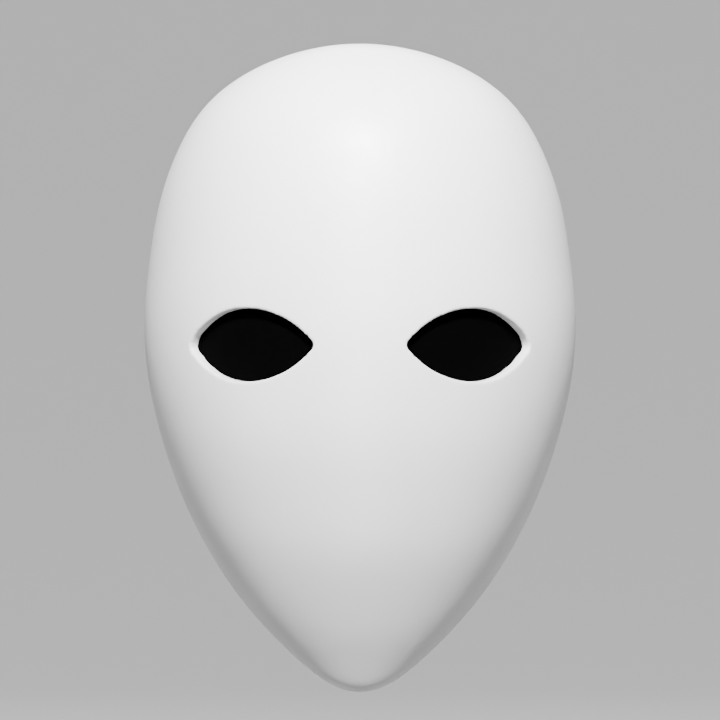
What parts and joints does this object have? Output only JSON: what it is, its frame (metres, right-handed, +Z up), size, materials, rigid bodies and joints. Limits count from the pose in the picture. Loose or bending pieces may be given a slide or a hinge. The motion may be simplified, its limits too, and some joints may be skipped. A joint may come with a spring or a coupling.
{
  "type": "full face mask",
  "caption": "Blank white full-face costume mask with almond eye holes, dark eye screens, foam pads and a swivelling elastic head strap with sliders.",
  "frame": {"origin": "middle of the opening that the head goes into: on the mirror plane, level with the eye corners, at the widest line of the temples", "axes": "+Z up as worn, -Y the way the face looks, +X the wearer's left"},
  "size_m": [0.1612, 0.2275, 0.239],
  "materials": {
    "white_shell": "satin",
    "foam": "matte",
    "elastic": "woven",
    "black_screen": "mesh",
    "black_plastic": "fine grain",
    "black_steel": "black oxide",
    "nickel": "nickel plated",
    "washer": "plain"
  },
  "bodies": {
    "mask": {"mask_shell": "white_shell", "brow_pad": "foam", "chin_pad": "foam", "left_eye_screen": "black_screen", "right_eye_screen": "black_screen", "left_screen_frame": "black_plastic", "right_screen_frame": "black_plastic", "left_screen_screws": "black_steel", "right_screen_screws": "black_steel", "left_temple_pad": "foam", "right_temple_pad": "foam", "left_cheek_pad": "foam", "right_cheek_pad": "foam", "left_pivot_screw": "nickel", "right_pivot_screw": "nickel", "left_friction_washer": "washer", "right_friction_washer": "washer"},
    "strap": {"head_strap": "elastic", "left_strap_tab": "black_plastic", "right_strap_tab": "black_plastic", "left_strap_tip": "nickel", "right_strap_tip": "nickel"},
    "left_slider": {"left_strap_slider": "black_plastic"},
    "right_slider": {"right_strap_slider": "black_plastic"}
  },
  "joints": [
    {"name": "strap_swing", "type": "hinge", "parent": "mask", "child": "strap", "pos_m": [0, -0.014, 0.008], "axis": [1, 0, 0], "range_deg": [-35, 45]},
    {"name": "left_slider_travel", "type": "slide", "parent": "strap", "child": "left_slider", "axis": [0, 1, 0], "range_m": [-0.003, 0.012]},
    {"name": "right_slider_travel", "type": "slide", "parent": "strap", "child": "right_slider", "axis": [0, 1, 0], "range_m": [-0.003, 0.012]}
  ]
}
